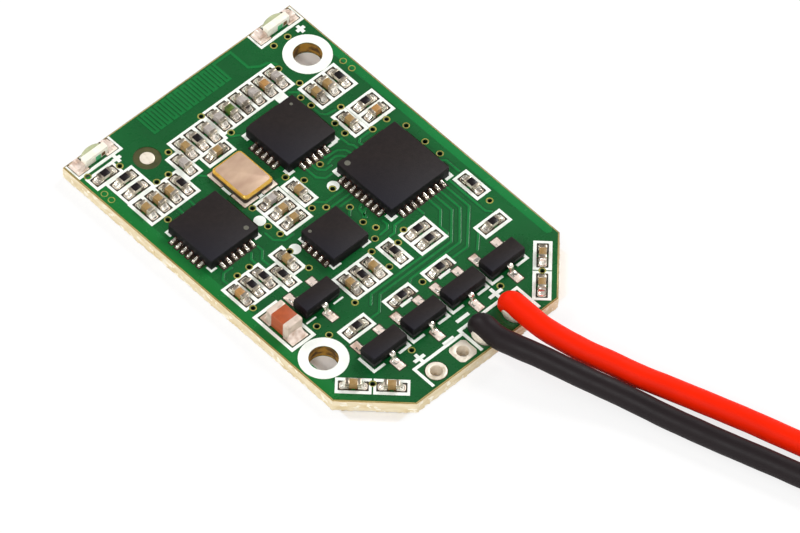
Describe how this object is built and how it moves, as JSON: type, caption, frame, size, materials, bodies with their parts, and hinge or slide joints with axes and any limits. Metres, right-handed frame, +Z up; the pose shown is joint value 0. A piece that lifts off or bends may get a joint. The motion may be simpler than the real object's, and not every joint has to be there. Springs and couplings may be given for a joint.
{
  "type": "rc receiver board",
  "caption": "Receiver and flight control board of a small model aircraft: green circuit board with surface-mounted parts, printed antenna and two battery leads.",
  "frame": {"origin": "middle of the board on the surface that it lies on", "axes": "+Z up from the populated face, +Y towards the printed antenna, battery leads leave at -Y"},
  "size_m": [0.036, 0.0558, 0.0033],
  "materials": {
    "laminate": "matt",
    "solder_mask": "gloss",
    "covered_copper": "gloss",
    "print_white": "matt",
    "solder": "satin",
    "via_copper": "satin",
    "chip_mould": "matt",
    "crystal_ceramic": "matt",
    "seal_gold": "polished",
    "lid_metal": "satin",
    "lamp_white": "satin",
    "lamp_clear": "clear",
    "resistor_film": "satin",
    "tinned_end": "satin",
    "tan_ceramic": "satin",
    "grey_ceramic": "satin",
    "orange_ceramic": "satin",
    "green_ceramic": "satin",
    "lead_red": "satin",
    "lead_black": "satin",
    "plug_nylon": "satin",
    "contact_metal": "satin"
  },
  "bodies": {
    "root": {"laminate": "laminate", "solder_mask_top": "solder_mask", "solder_mask_bottom": "solder_mask", "printed_lines": "print_white", "antenna": "covered_copper", "tracks": "covered_copper", "lands": "solder", "vias": "via_copper", "open_lead_holes": "solder", "fiducial": "solder", "controller_chip": "chip_mould", "controller_terminals": "solder", "radio_chip": "chip_mould", "radio_terminals": "solder", "gyro_chip": "chip_mould", "gyro_terminals": "solder", "accelerometer_chip": "chip_mould", "accelerometer_terminals": "solder", "crystal_base": "crystal_ceramic", "crystal_seal_ring": "seal_gold", "crystal_lid": "lid_metal", "regulator_body": "chip_mould", "regulator_feet": "solder", "motor_transistor_1": "chip_mould", "motor_transistor_2": "chip_mould", "motor_transistor_3": "chip_mould", "motor_transistor_4": "chip_mould", "transistor_feet_1": "solder", "transistor_feet_2": "solder", "transistor_feet_3": "solder", "transistor_feet_4": "solder", "lamp_carrier_left": "lamp_white", "lamp_lens_left": "lamp_clear", "lamp_ends_left": "tinned_end", "lamp_carrier_right": "lamp_white", "lamp_lens_right": "lamp_clear", "lamp_ends_right": "tinned_end", "resistors": "resistor_film", "resistor_ends": "tinned_end", "tan_capacitors": "tan_ceramic", "grey_capacitors": "grey_ceramic", "orange_capacitors": "orange_ceramic", "green_capacitor": "green_ceramic", "capacitor_ends": "tinned_end", "solder_fillets": "solder", "bulk_capacitor": "orange_ceramic", "bulk_capacitor_ends": "tinned_end", "lead_joints": "solder", "red_lead": "lead_red", "black_lead": "lead_black", "plug_housing": "plug_nylon", "plug_contacts": "contact_metal"}
  },
  "joints": []
}
